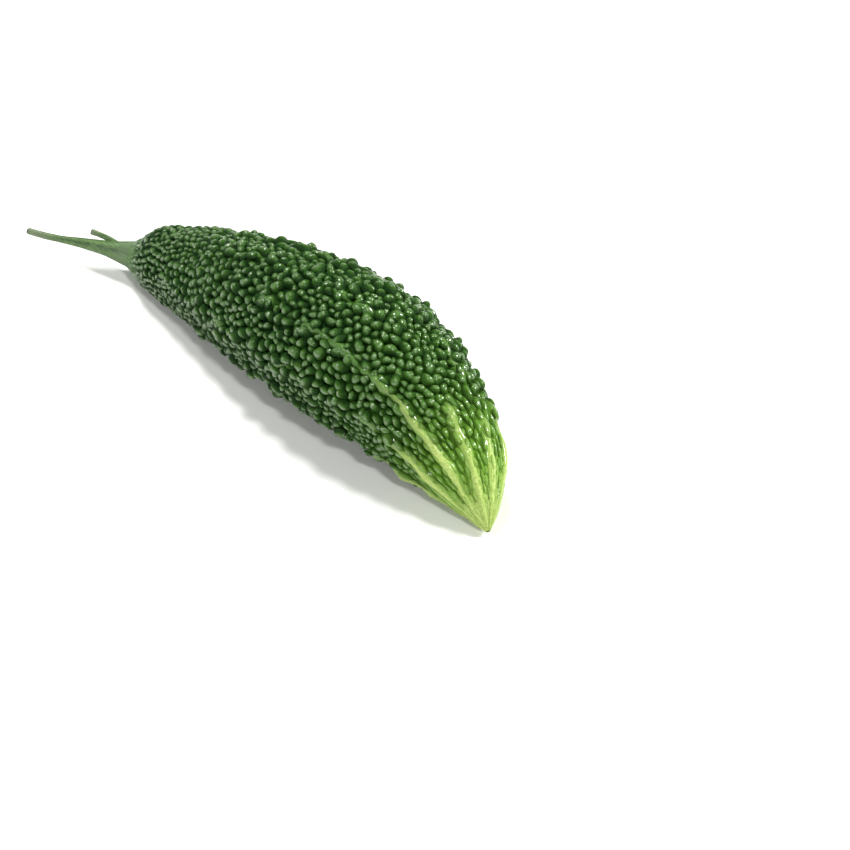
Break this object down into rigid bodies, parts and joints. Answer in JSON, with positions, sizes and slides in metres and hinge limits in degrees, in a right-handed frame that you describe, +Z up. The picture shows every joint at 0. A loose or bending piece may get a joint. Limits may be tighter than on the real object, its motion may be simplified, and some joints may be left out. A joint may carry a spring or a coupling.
{
  "type": "bitter gourd",
  "caption": "Whole bitter gourd as picked: a warty, ribbed green fruit that tapers to a pale tip, lying on its belly, with its thin curved stalk and a short cut stub beside it.",
  "frame": {"origin": "on the surface that the fruit lies on, under the middle of its box", "axes": "+X along the fruit from the stalk to the tip, +Z up from the surface that it lies on"},
  "size_m": [0.2825, 0.0645, 0.0647],
  "materials": {
    "skin": "waxy, semi-gloss",
    "stalk": "matt, slightly downy"
  },
  "bodies": {
    "root": {"fruit": "skin", "stalk": "stalk"}
  },
  "joints": []
}
